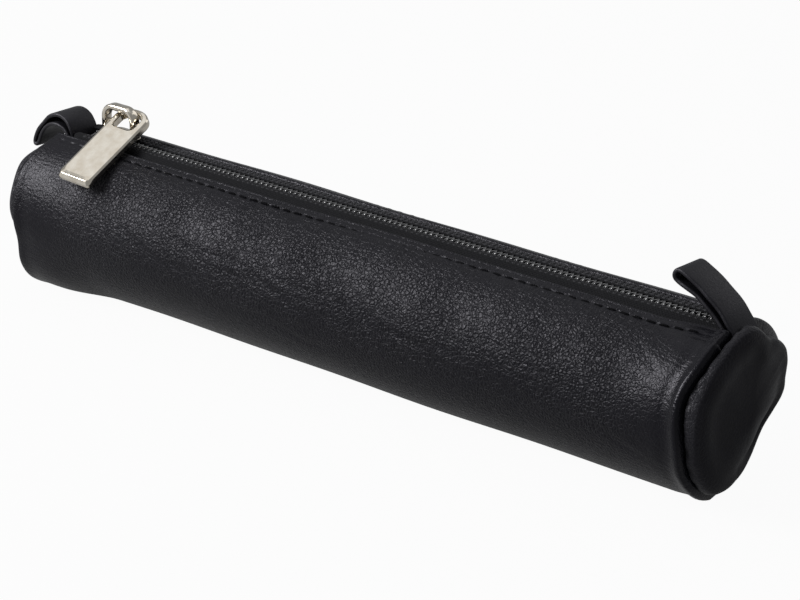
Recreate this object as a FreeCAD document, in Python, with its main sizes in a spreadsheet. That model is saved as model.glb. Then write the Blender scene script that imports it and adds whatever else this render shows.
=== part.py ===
import FreeCAD, Part
import math
import os

import Sketcher
from FreeCAD import Placement, Rotation, Vector

# Tubular leather pen case, closed by a coil zip along the top.
# X runs along the tube, +Z is up and -Y is the front. The origin is the middle of the flat underside.
# Each piece is drawn about the tube's own axis and then lifted by the height of that axis.

# Driving dimensions in millimetres, degrees and counts
SIZES = [
    # leather tube
    ("tube_radius", 20.0),
    ("tube_length", 199.0),
    ("leather_thickness", 1.3),
    ("rest_width", 12.0),
    ("end_roll_radius", 3.0),
    ("seam_allowance", 4.5),
    ("mouth_width", 9.8),
    # end panels
    ("panel_inset", 1.6),
    ("panel_depth", 4.0),
    ("panel_bulge", 0.6),
    ("panel_roll_radius", 2.4),
    ("pucker_count", 7),
    ("pucker_radius", 2.2),
    ("pucker_depth", 0.6),
    # lining and seam threads
    ("lining_thickness", 0.5),
    ("end_lining_gap", 0.3),
    ("seam_thread_radius", 0.12),
    # zip tapes
    ("tape_thickness", 0.6),
    ("tape_sewn_width", 4.2),
    ("tape_drop", 0.12),
    ("tape_edge_gap", 0.3),
    ("zip_end_inset", 4.1),
    ("lay_clearance", 0.1),
    ("fold_clearance", 0.05),
    # coils
    ("coil_height", 1.7),
    ("coil_half_width", 3.1),
    ("coil_spine_width", 1.2),
    ("tooth_pitch", 1.55),
    ("tooth_gap", 0.175),
    ("tooth_overlap", 0.6),
    ("spread_clearance", 0.15),
    ("merge_length", 5.0),
    # slider
    ("slider_end_inset", 13.4),
    ("slider_length", 12.6),
    ("slider_side_clearance", 0.3),
    ("slider_clearance", 0.2),
    ("plate_thickness", 1.0),
    ("flange_thickness", 0.6),
    ("flange_length", 7.0),
    ("divider_length", 3.0),
    ("divider_thickness", 0.9),
    # bridge on the slider
    ("bridge_end_inset", 0.4),
    ("bridge_width", 2.4),
    ("bridge_band", 1.5),
    ("bridge_corner", 3.8),
    ("tunnel_room", 4.1),
    # pull
    ("pull_reach", 22.0),
    ("pull_thickness", 2.2),
    ("pull_roll", 4.0),
    ("pull_bevel", 1.1),
    ("pull_bevel_depth", 0.6),
    ("ring_width", 1.8),
    ("ring_offset", 1.6),
    ("ring_clearance", 0.5),
    ("crown_clearance", 0.3),
    ("rest_clearance", 0.25),
    # strap loops
    ("strap_clearance", 0.65),
    ("strap_thickness", 1.2),
    ("loop_root_offset", 0.2),
    ("loop_root_drop", 0.8),
    ("notch_clearance", 0.35),
    ("swing_clearance", 0.8),
    ("right_bend_radius", 28.6),
    ("right_start_angle", 36.0),
    ("right_sweep_angle", 36.0),
    ("right_slit", 0.6),
    ("left_outer_radius", 7.9),
    ("left_outer_reach", 6.6),
    ("left_under_radius", 8.7),
    ("left_under_reach", 5.9),
    ("left_eye_height", 1.4),
    ("left_rim_clearance", 0.85),
    # topstitching
    ("stitch_inset", 1.6),
    ("stitch_pitch", 3.5),
    ("stitch_gap", 0.9),
    ("stitch_width", 0.5),
    ("stitch_thickness", 0.3),
    ("stitch_margin", 5.0),
]

# Dimensions that follow from the driving ones; heights are above the tube's axis
FITS = [
    ("axis_height", "sqrt(sizes.tube_radius ^ 2 - (sizes.rest_width / 2) ^ 2)"),
    ("seam_place", "sizes.tube_length / 2"),
    ("mouth_half", "sizes.mouth_width / 2"),
    ("inner_radius", "sizes.tube_radius - sizes.leather_thickness"),
    ("inner_flat", "axis_height - sizes.leather_thickness"),
    ("opening_radius", "sizes.tube_radius - sizes.seam_allowance"),
    ("panel_radius", "sizes.tube_radius - sizes.panel_inset"),
    # tapes and lining, one inside the other
    ("tape_radius", "inner_radius - sizes.lay_clearance"),
    ("tape_inner_radius", "tape_radius - sizes.tape_thickness"),
    ("lining_radius", "tape_inner_radius - sizes.lay_clearance"),
    ("lining_flat", "inner_flat - sizes.lay_clearance"),
    ("lining_end", "seam_place - sizes.leather_thickness - sizes.end_lining_gap"),
    ("thread_ring_radius", "opening_radius + sizes.seam_allowance / 2 - sizes.leather_thickness"),
    # zip
    ("zip_half", "seam_place - sizes.zip_end_inset"),
    ("tape_height", "sqrt(tape_inner_radius ^ 2 - mouth_half ^ 2) - sizes.tape_drop"),
    ("coil_base", "tape_height + sizes.tape_thickness"),
    ("tooth_thickness", "sizes.tooth_pitch / 2 - sizes.tooth_gap"),
    ("coil_spread", "sizes.tooth_overlap + sizes.divider_thickness / 2 + sizes.spread_clearance"),
    # slider
    ("slider_place", "sizes.slider_end_inset - seam_place"),
    ("slider_half", "sizes.slider_length / 2"),
    ("wide_half", "mouth_half - sizes.slider_side_clearance"),
    ("flange_inner", "sizes.coil_half_width + 2 * sizes.slider_clearance"),
    ("narrow_half", "flange_inner + sizes.flange_thickness"),
    ("channel_base", "tape_height - sizes.slider_clearance"),
    ("plate_base", "coil_base + sizes.coil_height + sizes.slider_clearance"),
    # where the divider has parted the coils fully, and where they have closed
    ("spread_full", "slider_place - slider_half + sizes.divider_length / 2 + tooth_thickness / 2"),
    ("spread_none", "spread_full + sizes.merge_length"),
    # bridge
    ("bridge_half", "slider_half - sizes.bridge_end_inset"),
    ("bridge_foot", "plate_base + sizes.plate_thickness"),
    ("bridge_under", "bridge_foot + sizes.pull_thickness + sizes.tunnel_room"),
    ("bridge_crown", "bridge_under + sizes.bridge_band"),
    ("post_place", "slider_place + bridge_half - sizes.bridge_band / 2"),
    # pull
    ("window_half", "sizes.ring_offset + sizes.bridge_width / 2 + sizes.ring_clearance"),
    ("pull_half", "window_half + sizes.ring_width"),
    ("pull_height", "bridge_under - sizes.pull_thickness - sizes.crown_clearance"),
    # strap loops
    ("strap_half", "mouth_half - sizes.strap_clearance"),
    ("loop_root_place", "seam_place + sizes.loop_root_offset"),
    ("loop_root_height", "panel_radius - sizes.loop_root_drop"),
    ("notch_half", "strap_half + sizes.notch_clearance"),
    ("notch_depth", "sizes.strap_thickness + sizes.right_slit / 2 + sizes.loop_root_offset"
                    " + sizes.swing_clearance"),
    ("left_under_top", "panel_radius + sizes.left_rim_clearance"),
    ("left_outer_top", "left_under_top + 2 * sizes.strap_thickness + sizes.left_eye_height"),
    # topstitching
    ("stitch_length", "sizes.stitch_pitch - sizes.stitch_gap"),
    ("stitch_across", "mouth_half + sizes.stitch_inset"),
]

SAME_PLACE = 1e-4

doc = FreeCAD.newDocument("pen_case")


def fill_sheet(name, rows):
    """A spreadsheet of named dimensions."""
    sheet = doc.addObject("Spreadsheet::Sheet", name)
    for row, (alias, content) in enumerate(rows, start=1):
        sheet.set(f"A{row}", alias)
        sheet.setAlias(f"B{row}", alias)
        sheet.set(f"B{row}", content)
    doc.recompute()
    return {alias: sheet for alias, content in rows}


sheet_of = fill_sheet("sizes", [(alias, str(value)) for alias, value in SIZES])
sheet_of.update(fill_sheet("fits", [(alias, f"={formula}") for alias, formula in FITS]))
pieces = []


def size(alias):
    """A dimension from either sheet as a plain number."""
    return float(sheet_of[alias].get(alias))


def keep(piece, label):
    """Name a finished sub-part and lift it onto the tube's axis."""
    piece.Label = label
    piece.setExpression("Placement.Base.z", "fits.axis_height")
    pieces.append(piece)
    return piece


def shaped(shape, label):
    """A sub-part whose shape is worked out in code."""
    piece = doc.addObject("Part::Feature", label)
    piece.Shape = shape
    return keep(piece, label)


def new_body(label):
    return keep(doc.addObject("PartDesign::Body", label), label)


def sketch_on(body, role, name):
    plane = next(item for item in body.Origin.OriginFeatures if item.Role == role)
    sketch = body.newObject("Sketcher::SketchObject", name)
    sketch.AttachmentSupport = [(plane, "")]
    sketch.MapMode = "FlatFace"
    return sketch


def lift(sketch, formula):
    """Move a sketch along the normal of its plane."""
    sketch.setExpression("AttachmentOffset.Base.z", formula)


def bind(sketch, constraint, formula):
    """Add one dimension to a sketch and drive it by a formula."""
    index = sketch.addConstraint(constraint)
    sketch.setExpression(f"Constraints[{index}]", formula)


def join_ends(sketch, lines):
    """Close a chain of sketch edges end to start."""
    for position, line in enumerate(lines):
        following = lines[(position + 1) % len(lines)]
        sketch.addConstraint(Sketcher.Constraint("Coincident", line, 2, following, 1))


def polygon(sketch, corners):
    """A closed outline whose corners are (x formula, y formula); it starts as a regular one."""
    turn = 2 * math.pi / len(corners)
    reach = size("tube_radius")
    starts = []
    for position in range(len(corners)):
        starts.append(Vector(reach * math.cos(position * turn), reach * math.sin(position * turn), 0))
    lines = []
    for position, start in enumerate(starts):
        following = starts[(position + 1) % len(starts)]
        lines.append(sketch.addGeometry(Part.LineSegment(start, following)))
    join_ends(sketch, lines)
    for line, start, (x_formula, y_formula) in zip(lines, starts, corners):
        bind(sketch, Sketcher.Constraint("DistanceX", -1, 1, line, 1, start.x), x_formula)
        bind(sketch, Sketcher.Constraint("DistanceY", -1, 1, line, 1, start.y), y_formula)


def flatted_circle(sketch, radius_formula, flat_formula):
    """A circle about the tube's axis with a flat cut across its underside."""
    radius = size("tube_radius")
    flat = size("axis_height")
    dip = math.asin(flat / radius)
    arc = Part.ArcOfCircle(Part.Circle(Vector(), Vector(0, 0, 1), radius), -dip, math.pi + dip)
    arc_id = sketch.addGeometry(arc)
    flat_id = sketch.addGeometry(Part.LineSegment(arc.EndPoint, arc.StartPoint))
    join_ends(sketch, [arc_id, flat_id])
    sketch.addConstraint(Sketcher.Constraint("Coincident", arc_id, 3, -1, 1))
    sketch.addConstraint(Sketcher.Constraint("Horizontal", flat_id))
    bind(sketch, Sketcher.Constraint("Radius", arc_id, radius), radius_formula)
    bind(sketch, Sketcher.Constraint("DistanceY", flat_id, 1, -1, 1, flat), flat_formula)


def centred_circle(sketch, alias):
    radius = size(alias)
    circle = sketch.addGeometry(Part.Circle(Vector(), Vector(0, 0, 1), radius))
    sketch.addConstraint(Sketcher.Constraint("Coincident", circle, 3, -1, 1))
    bind(sketch, Sketcher.Constraint("Radius", circle, radius), f"fits.{alias}")


def pad(body, sketch, formula, middle=True, reverse=False):
    feature = body.newObject("PartDesign::Pad", f"{sketch.Name}_pad")
    feature.Profile = sketch
    feature.Midplane = middle
    feature.Reversed = reverse
    feature.setExpression("Length", formula)
    doc.recompute()
    return feature


def pocket(body, sketch, formula=None):
    """Cut a sketch out of a body evenly to both sides, by a length or right through."""
    feature = body.newObject("PartDesign::Pocket", f"{sketch.Name}_pocket")
    feature.Profile = sketch
    feature.Midplane = True
    if formula is None:
        feature.Type = "ThroughAll"
    else:
        feature.setExpression("Length", formula)
    doc.recompute()
    return feature


def fillet(body, base, edges, formula, name):
    rounded = body.newObject("PartDesign::Fillet", name)
    rounded.Base = (base, edges)
    rounded.setExpression("Radius", formula)
    doc.recompute()
    return rounded


def edges_where(shape, test):
    """Names of the edges whose end points all pass a test."""
    names = []
    for number, edge in enumerate(shape.Edges, start=1):
        if all(test(vertex.Point) for vertex in edge.Vertexes):
            names.append(f"Edge{number}")
    return names


def cut_mouth(body, name, half_width):
    """Open a tube along its top for the zip, from halfway up its radius."""
    base = "sizes.tube_radius / 2"
    top = "2 * sizes.tube_radius"
    sketch = sketch_on(body, "YZ_Plane", name)
    polygon(sketch, [(f"-({half_width})", base), (half_width, base), (half_width, top),
                     (f"-({half_width})", top)])
    pocket(body, sketch)


def make_leather_body():
    body = new_body("leather_body")
    outline = sketch_on(body, "YZ_Plane", "body_outline")
    flatted_circle(outline, "sizes.tube_radius", "fits.axis_height")
    tube = pad(body, outline, "sizes.tube_length")
    ends = []
    for place in (-size("seam_place"), size("seam_place")):
        ends += edges_where(tube.Shape, lambda point: abs(point.x - place) < SAME_PLACE)
    fillet(body, tube, ends, "sizes.end_roll_radius", "body_rolled_ends")
    hollow = sketch_on(body, "YZ_Plane", "body_hollow")
    flatted_circle(hollow, "fits.inner_radius", "fits.inner_flat")
    pocket(body, hollow, "sizes.tube_length - 2 * sizes.leather_thickness")
    opening = sketch_on(body, "YZ_Plane", "body_end_opening")
    centred_circle(opening, "opening_radius")
    pocket(body, opening)
    cut_mouth(body, "body_mouth", "fits.mouth_half")


def make_end_panel(side, label):
    """A shallow leather cup whose rim meets the end of the tube; side is -1 at the left, 1 at the right."""
    body = new_body(label)

    def out(formula):
        return f"{side} * (fits.seam_place + {formula})"

    inside = "fits.panel_radius - sizes.leather_thickness"
    back = "sizes.panel_depth - sizes.leather_thickness"
    profile = sketch_on(body, "XZ_Plane", f"{label}_profile")
    polygon(profile, [
        (out("0"), "fits.panel_radius"),
        (out("sizes.panel_depth"), "fits.panel_radius"),
        (out("sizes.panel_depth + sizes.panel_bulge"), "0"),
        (out(f"{back} + sizes.panel_bulge"), "0"),
        (out(back), inside),
        (out("0"), inside),
    ])
    turned = body.newObject("PartDesign::Revolution", f"{label}_turned")
    turned.Profile = profile
    turned.ReferenceAxis = (profile, ["H_Axis"])
    turned.Angle = 360.0
    doc.recompute()

    face = side * (size("seam_place") + size("panel_depth"))
    radius = size("panel_radius")

    def on_rim(point):
        return abs(point.x - face) < SAME_PLACE and abs(math.hypot(point.y, point.z) - radius) < SAME_PLACE

    fillet(body, turned, edges_where(turned.Shape, on_rim), "sizes.panel_roll_radius", f"{label}_roll")
    pucker_panel(body, label)
    notch_panel(body, side, label)


def pucker_panel(body, label):
    """Dent the rim of an end panel at even steps, where the leather is gathered into the seam."""
    radius = size("pucker_radius")
    reach = size("panel_radius")
    dent = sketch_on(body, "YZ_Plane", f"{label}_pucker")
    circle = dent.addGeometry(Part.Circle(Vector(0, -reach, 0), Vector(0, 0, 1), radius))
    dent.addConstraint(Sketcher.Constraint("PointOnObject", circle, 3, -2))
    bind(dent, Sketcher.Constraint("Radius", circle, radius), "sizes.pucker_radius")
    bind(dent, Sketcher.Constraint("DistanceY", circle, 3, -1, 1, reach),
         "fits.panel_radius + sizes.pucker_radius - sizes.pucker_depth")
    dented = pocket(body, dent)
    ring = body.newObject("PartDesign::PolarPattern", f"{label}_puckers")
    ring.Originals = [dented]
    ring.Axis = (dent, ["N_Axis"])
    ring.Angle = 360.0
    ring.setExpression("Occurrences", "sizes.pucker_count")
    body.Tip = ring
    doc.recompute()


def notch_panel(body, side, label):
    """Open the top of a panel's rim for the strap that is caught in the seam."""
    notch = sketch_on(body, "XY_Plane", f"{label}_notch")
    near = f"{side} * (fits.seam_place - fits.notch_depth)"
    far = f"{side} * (fits.seam_place + fits.notch_depth)"
    polygon(notch, [(near, "-fits.notch_half"), (far, "-fits.notch_half"), (far, "fits.notch_half"),
                    (near, "fits.notch_half")])
    opened = body.newObject("PartDesign::Pocket", f"{label}_notch_pocket")
    opened.Profile = notch
    opened.Reversed = True
    opened.Type = "ThroughAll"
    doc.recompute()


def make_linings():
    body = new_body("body_lining")
    outline = sketch_on(body, "YZ_Plane", "lining_outline")
    flatted_circle(outline, "fits.lining_radius", "fits.lining_flat")
    pad(body, outline, "2 * (fits.lining_end - sizes.lining_thickness - sizes.lay_clearance)")
    hollow = sketch_on(body, "YZ_Plane", "lining_hollow")
    flatted_circle(hollow, "fits.lining_radius - sizes.lining_thickness",
                   "fits.lining_flat - sizes.lining_thickness")
    pocket(body, hollow)
    cut_mouth(body, "lining_mouth", "fits.mouth_half + sizes.tape_thickness")
    for side, label in ((-1, "left_end_lining"), (1, "right_end_lining")):
        disc = new_body(label)
        face = sketch_on(disc, "YZ_Plane", f"{label}_outline")
        flatted_circle(face, "fits.lining_radius - sizes.lining_thickness - sizes.lay_clearance",
                       "fits.lining_flat - sizes.lining_thickness - sizes.lay_clearance")
        lift(face, f"{side} * fits.lining_end")
        pad(disc, face, "sizes.lining_thickness", middle=False, reverse=side > 0)


def make_seam_threads():
    """The thread that holds each end panel, hidden between the turned-in leather and the lining."""
    mouth = size("mouth_half") + size("leather_thickness")
    half_gap = math.degrees(math.asin(mouth / size("thread_ring_radius")))
    along_tube = Rotation(Vector(0, 1, 0), 90)
    past_mouth = Rotation(Vector(0, 0, 1), 180 + half_gap)
    for side, label in ((-1, "left_seam_thread"), (1, "right_seam_thread")):
        thread = doc.addObject("Part::Torus", label)
        thread.setExpression("Radius1", "fits.thread_ring_radius")
        thread.setExpression("Radius2", "sizes.seam_thread_radius")
        thread.Angle3 = 360 - 2 * half_gap
        thread.Placement = Placement(Vector(), along_tube.multiply(past_mouth))
        keep(thread, label)
        thread.setExpression("Placement.Base.x", f"{side} * (fits.lining_end + sizes.end_lining_gap / 2)")


def make_sewn_tapes():
    """The strip of each tape that is sewn under the leather, bent to the inside of the tube."""
    edge = size("mouth_half") + size("fold_clearance")
    start = math.degrees(math.asin(edge / size("tape_inner_radius")))
    sweep = math.degrees(size("tape_sewn_width") / size("tape_radius"))
    along_tube = Rotation(Vector(0, 0, 1), Vector(0, -1, 0), Vector(1, 0, 0), "ZXY")
    for side, label in ((-1, "front_zip_tape"), (1, "rear_zip_tape")):
        turn = -start - sweep if side > 0 else start
        rings = []
        for alias in ("tape_radius", "tape_inner_radius"):
            ring = doc.addObject("Part::Cylinder", f"{label}_{alias}")
            ring.setExpression("Radius", f"fits.{alias}")
            ring.setExpression("Height", "2 * fits.zip_half")
            ring.Angle = sweep
            ring.Placement = Placement(Vector(-size("zip_half"), 0, 0),
                                       along_tube.multiply(Rotation(Vector(0, 0, 1), turn)))
            rings.append(ring)
        tape = doc.addObject("Part::Cut", label)
        tape.Base, tape.Tool = rings
        keep(tape, label)


def coil_aside(x):
    """How far each coil stands aside at a place along the zip: the slider's divider parts them."""
    share = (size("spread_none") - x) / size("merge_length")
    return size("coil_spread") * min(1.0, max(0.0, share))


def spread_places():
    """Places along the zip where the run of the coils bends."""
    return [-size("zip_half"), size("spread_full"), size("spread_none"), size("zip_half")]


def prism(points, base, height):
    """A flat outline in plan, raised by a height."""
    corners = [Vector(x, y, base) for x, y in points]
    face = Part.Face(Part.makePolygon(corners + corners[:1]))
    return face.extrude(Vector(0, 0, height))


def make_tape_edges():
    """The free edge of each tape, from its fold at the leather to the middle of the zip."""
    places = spread_places()
    for side, label in ((-1, "front_tape_edge"), (1, "rear_tape_edge")):
        outer = [(x, side * size("mouth_half")) for x in (places[0], places[-1])]
        inner = [(x, side * (size("tape_edge_gap") + coil_aside(x))) for x in reversed(places)]
        shaped(prism(outer + inner, size("tape_height"), size("tape_thickness")), label)


def make_coils():
    """A comb of teeth on each tape; the rear comb is half a pitch along, so the teeth interleave."""
    width = size("coil_half_width")
    spine = width - size("coil_spine_width")
    reach = size("tooth_overlap")
    half_tooth = size("tooth_thickness") / 2
    pitch = size("tooth_pitch")
    count = int((2 * size("zip_half") - 2 * half_tooth - pitch / 2) / pitch) + 1
    first = -((count - 1) * pitch + pitch / 2) / 2
    tooth = ((half_tooth, spine), (half_tooth, -reach), (-half_tooth, -reach), (-half_tooth, spine))
    for side, shift, label in ((-1, 0.0, "front_coil"), (1, pitch / 2, "rear_coil")):
        points = [(x, side * (width + coil_aside(x))) for x in spread_places()]
        for number in reversed(range(count)):
            x = first + shift + number * pitch
            points += [(x + step, side * (across + coil_aside(x))) for step, across in tooth]
        shaped(prism(points, size("coil_base"), size("coil_height")), label)


def plate_outline(sketch, inset):
    """The plan of a slider plate: wide where the coils part, narrow where they leave closed."""
    end = "fits.slider_half"
    wide = f"(fits.wide_half - {inset})"
    narrow = f"(fits.narrow_half - {inset})"
    polygon(sketch, [(f"-{end}", f"-{wide}"), ("0", f"-{wide}"), (end, f"-{narrow}"), (end, narrow),
                     ("0", wide), (f"-{end}", wide)])


def make_slider_body():
    body = new_body("slider_body")
    body.setExpression("Placement.Base.x", "fits.slider_place")
    lower = sketch_on(body, "XY_Plane", "slider_lower_plate")
    plate_outline(lower, "sizes.flange_thickness / 2")
    lift(lower, "fits.channel_base - sizes.plate_thickness")
    pad(body, lower, "sizes.plate_thickness", middle=False)

    divider = sketch_on(body, "XY_Plane", "slider_divider")
    half = "sizes.divider_thickness / 2"
    end = "-fits.slider_half"
    shoulder = "-fits.slider_half + sizes.divider_length / 2"
    point = "-fits.slider_half + sizes.divider_length"
    polygon(divider, [(end, f"-{half}"), (shoulder, f"-{half}"), (point, "0"), (shoulder, half), (end, half)])
    lift(divider, "fits.channel_base")
    pad(body, divider, "fits.plate_base - fits.channel_base", middle=False)

    upper = sketch_on(body, "XY_Plane", "slider_upper_plate")
    plate_outline(upper, "0")
    lift(upper, "fits.plate_base")
    pad(body, upper, "sizes.plate_thickness", middle=False)

    for side, name in ((-1, "front"), (1, "rear")):
        flange = sketch_on(body, "XY_Plane", f"slider_{name}_flange")
        start = "fits.slider_half - sizes.flange_length"
        inner = f"{side} * fits.flange_inner"
        outer = f"{side} * fits.narrow_half"
        finish = "fits.slider_half"
        polygon(flange, [(start, inner), (finish, inner), (finish, outer), (start, outer)])
        lift(flange, "fits.coil_base + sizes.slider_clearance")
        pad(body, flange, "sizes.coil_height", middle=False)


def make_slider_bridge():
    """The arch that carries the pull, one foot at each end of the slider."""
    body = new_body("slider_bridge")
    body.setExpression("Placement.Base.x", "fits.slider_place")
    profile = sketch_on(body, "XZ_Plane", "bridge_profile")
    out = "fits.bridge_half"
    inside = "(fits.bridge_half - sizes.bridge_band)"
    foot = "fits.bridge_foot"
    under = "fits.bridge_under"
    crown = "fits.bridge_crown"
    polygon(profile, [(f"-{out}", foot), (f"-{inside}", foot), (f"-{inside}", under), (inside, under),
                      (inside, foot), (out, foot), (out, crown), (f"-{out}", crown)])
    arch = pad(body, profile, "sizes.bridge_width")
    outer = bridge_corners(arch.Shape, size("bridge_half"), size("bridge_crown"))
    rounded = fillet(body, arch, outer, "sizes.bridge_corner", "bridge_crown_round")
    half_tunnel = size("bridge_half") - size("bridge_band")
    inner = bridge_corners(rounded.Shape, half_tunnel, size("bridge_under"))
    fillet(body, rounded, inner, "sizes.bridge_corner - sizes.bridge_band", "bridge_tunnel_round")


def bridge_corners(shape, half, height):
    """Edges across the bridge at one distance from its middle and one height."""
    names = []
    for side in (-1, 1):
        def at_corner(point):
            return math.hypot(point.x - side * half, point.z - height) < SAME_PLACE
        names += edges_where(shape, at_corner)
    return names


def ring_ended(sketch, half_alias, reach_formula):
    """A straight-sided outline pointing to the front, closed by a half circle about the origin."""
    half = size(half_alias)
    arc = Part.ArcOfCircle(Part.Circle(Vector(), Vector(0, 0, 1), half), 0, math.pi)
    ring = sketch.addGeometry(arc)
    corners = [Vector(-half, 0, 0), Vector(-half, -half, 0), Vector(half, -half, 0), Vector(half, 0, 0)]
    left, tip, right = [sketch.addGeometry(Part.LineSegment(a, b)) for a, b in zip(corners, corners[1:])]
    join_ends(sketch, [ring, left, tip, right])
    sketch.addConstraint(Sketcher.Constraint("Coincident", ring, 3, -1, 1))
    sketch.addConstraint(Sketcher.Constraint("PointOnObject", ring, 1, -1))
    sketch.addConstraint(Sketcher.Constraint("PointOnObject", ring, 2, -1))
    sketch.addConstraint(Sketcher.Constraint("Vertical", left))
    sketch.addConstraint(Sketcher.Constraint("Horizontal", tip))
    sketch.addConstraint(Sketcher.Constraint("Vertical", right))
    bind(sketch, Sketcher.Constraint("Radius", ring, half), f"fits.{half_alias}")
    bind(sketch, Sketcher.Constraint("DistanceY", tip, 1, -1, 1, half), reach_formula)


def make_pull_tab():
    """A long tab with a rounded ring end; it is drawn flat, pointing to the front, and then laid over."""
    body = new_body("pull_tab")
    plan = sketch_on(body, "XY_Plane", "pull_plan")
    ring_ended(plan, "pull_half", "sizes.pull_reach")
    tab = pad(body, plan, "sizes.pull_thickness")
    bevel_pull(body, tab)
    window = sketch_on(body, "XY_Plane", "pull_window")
    ring_ended(window, "window_half", "fits.window_half")
    pocket(body, window)
    body.Placement = Placement(Vector(), pull_rotation())
    body.setExpression("Placement.Base.x", "fits.post_place - sizes.ring_offset")
    body.setExpression("Placement.Base.z", "fits.axis_height + fits.pull_height")


def bevel_pull(body, tab):
    """Slope the long edges and the tip of the upper face."""
    top = size("pull_thickness") / 2
    half = size("pull_half")
    reach = size("pull_reach")

    def on_outline(point):
        at_tip = abs(point.y + reach) < SAME_PLACE
        at_side = abs(abs(point.x) - half) < SAME_PLACE
        return abs(point.z - top) < SAME_PLACE and (at_tip or at_side)

    straight = [name for name in edges_where(tab.Shape, on_outline)
                if tab.Shape.getElement(name).Curve.TypeId == "Part::GeomLine"]
    sloped = body.newObject("PartDesign::Chamfer", "pull_bevels")
    sloped.Base = (tab, straight)
    sloped.ChamferType = "Two distances"
    sloped.setExpression("Size", "sizes.pull_bevel_depth")
    sloped.setExpression("Size2", "sizes.pull_bevel")
    doc.recompute()


def pull_rotation():
    """The tilt at which the pull lies just clear of the front shoulder of the tube, and its roll."""
    roll = size("pull_roll")
    low_corner = size("pull_half") * math.sin(math.radians(roll))
    stand_off = size("tube_radius") + size("pull_thickness") / 2 + low_corner + size("rest_clearance")
    tilt = math.degrees(math.acos(stand_off / size("pull_height")))
    return Rotation(Vector(1, 0, 0), tilt).multiply(Rotation(Vector(0, 1, 0), roll))


def banana(centre, radius, half_thickness, start, sweep):
    """A curved slot outline along the tube: two arcs about one centre with round ends."""
    def spot(r, angle):
        return Vector(centre[0] + r * math.cos(angle), 0, centre[1] + r * math.sin(angle))

    outer = radius + half_thickness
    inner = radius - half_thickness
    stop = start + sweep
    nose = half_thickness / radius
    middle = start + sweep / 2
    edges = [
        Part.Arc(spot(outer, start), spot(outer, middle), spot(outer, stop)),
        Part.Arc(spot(outer, stop), spot(radius, stop + nose), spot(inner, stop)),
        Part.Arc(spot(inner, stop), spot(inner, middle), spot(inner, start)),
        Part.Arc(spot(inner, start), spot(radius, start - nose), spot(outer, start)),
    ]
    return Part.Face(Part.Wire([edge.toShape() for edge in edges]))


def make_right_loop():
    """A strap folded double, leaning over the zip from the seam at the right end."""
    radius = size("right_bend_radius")
    start = math.radians(size("right_start_angle"))
    sweep = math.radians(size("right_sweep_angle"))
    centre = (size("loop_root_place") - radius * math.cos(start),
              size("loop_root_height") - radius * math.sin(start))
    half_slit = size("right_slit") / 2
    outline = banana(centre, radius, half_slit + size("strap_thickness"), start, sweep)
    slit = banana(centre, radius, half_slit, start, sweep)
    half_width = size("strap_half")
    strap = outline.cut(slit).extrude(Vector(0, 2 * half_width, 0))
    strap.translate(Vector(0, -half_width, 0))
    shaped(strap, "right_loop")


def make_left_loop():
    """A strap bent into a tunnel that lies over the rim of the left end panel."""
    root = -size("loop_root_place")
    strap = size("strap_thickness")
    half_width = size("strap_half")

    def drum(radius, reach, top, grow):
        base = Vector(root - reach, -half_width, top - radius)
        return Part.makeCylinder(radius + grow, 2 * half_width, base, Vector(0, 1, 0))

    over = (size("left_outer_radius"), size("left_outer_reach"), size("left_outer_top"))
    under = (size("left_under_radius"), size("left_under_reach"), size("left_under_top"))
    outside = drum(*over, 0).cut(drum(*under, 0))
    eye = drum(*over, -strap).cut(drum(*under, strap))
    tall = 2 * size("tube_radius")
    trim = Part.makeBox(tall, 2 * half_width, tall, Vector(root + strap, -half_width, 0))
    shaped(outside.cut(eye).cut(trim), "left_loop")


def make_stitching():
    """A row of single stitches along each leather edge of the zip."""
    length = size("stitch_length")
    width = size("stitch_width")
    pitch = size("stitch_pitch")
    radius = size("tube_radius")
    run = size("tube_length") - 2 * size("stitch_margin")
    count = int((run - length) / pitch) + 1
    first = -((count - 1) * pitch + length) / 2
    slope = math.degrees(math.asin(size("stitch_across") / radius))
    for side, label in ((-1, "front_stitching"), (1, "rear_stitching")):
        stitches = []
        for number in range(count):
            corner = Vector(first + number * pitch, -width / 2, radius)
            stitches.append(Part.makeBox(length, width, size("stitch_thickness"), corner))
        row = shaped(Part.makeCompound(stitches), label)
        row.Placement = Placement(row.Placement.Base, Rotation(Vector(1, 0, 0), -side * slope))


make_leather_body()
make_end_panel(-1, "left_end_panel")
make_end_panel(1, "right_end_panel")
make_linings()
make_seam_threads()
make_sewn_tapes()
make_tape_edges()
make_coils()
make_slider_body()
make_slider_bridge()
make_pull_tab()
make_left_loop()
make_right_loop()
make_stitching()

doc.recompute()
for item in doc.Objects:
    if "Invalid" in item.State or "Error" in item.State:
        raise RuntimeError(f"{item.Label} failed: {item.State}")
for piece in pieces:
    if piece.Shape.isNull() or not piece.Shape.isValid():
        raise RuntimeError(f"{piece.Label} has no valid shape")

os.makedirs("parts", exist_ok=True)
for piece in pieces:
    piece.Shape.exportStep(f"parts/{piece.Label}.step")
    box = piece.Shape.BoundBox
    print(f"{piece.Label}: {len(piece.Shape.Solids)} solids, {piece.Shape.Volume:.1f} mm3, "
          f"x {box.XMin:.1f}..{box.XMax:.1f}, y {box.YMin:.1f}..{box.YMax:.1f}, "
          f"z {box.ZMin:.1f}..{box.ZMax:.1f}")
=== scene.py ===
import math

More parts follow.
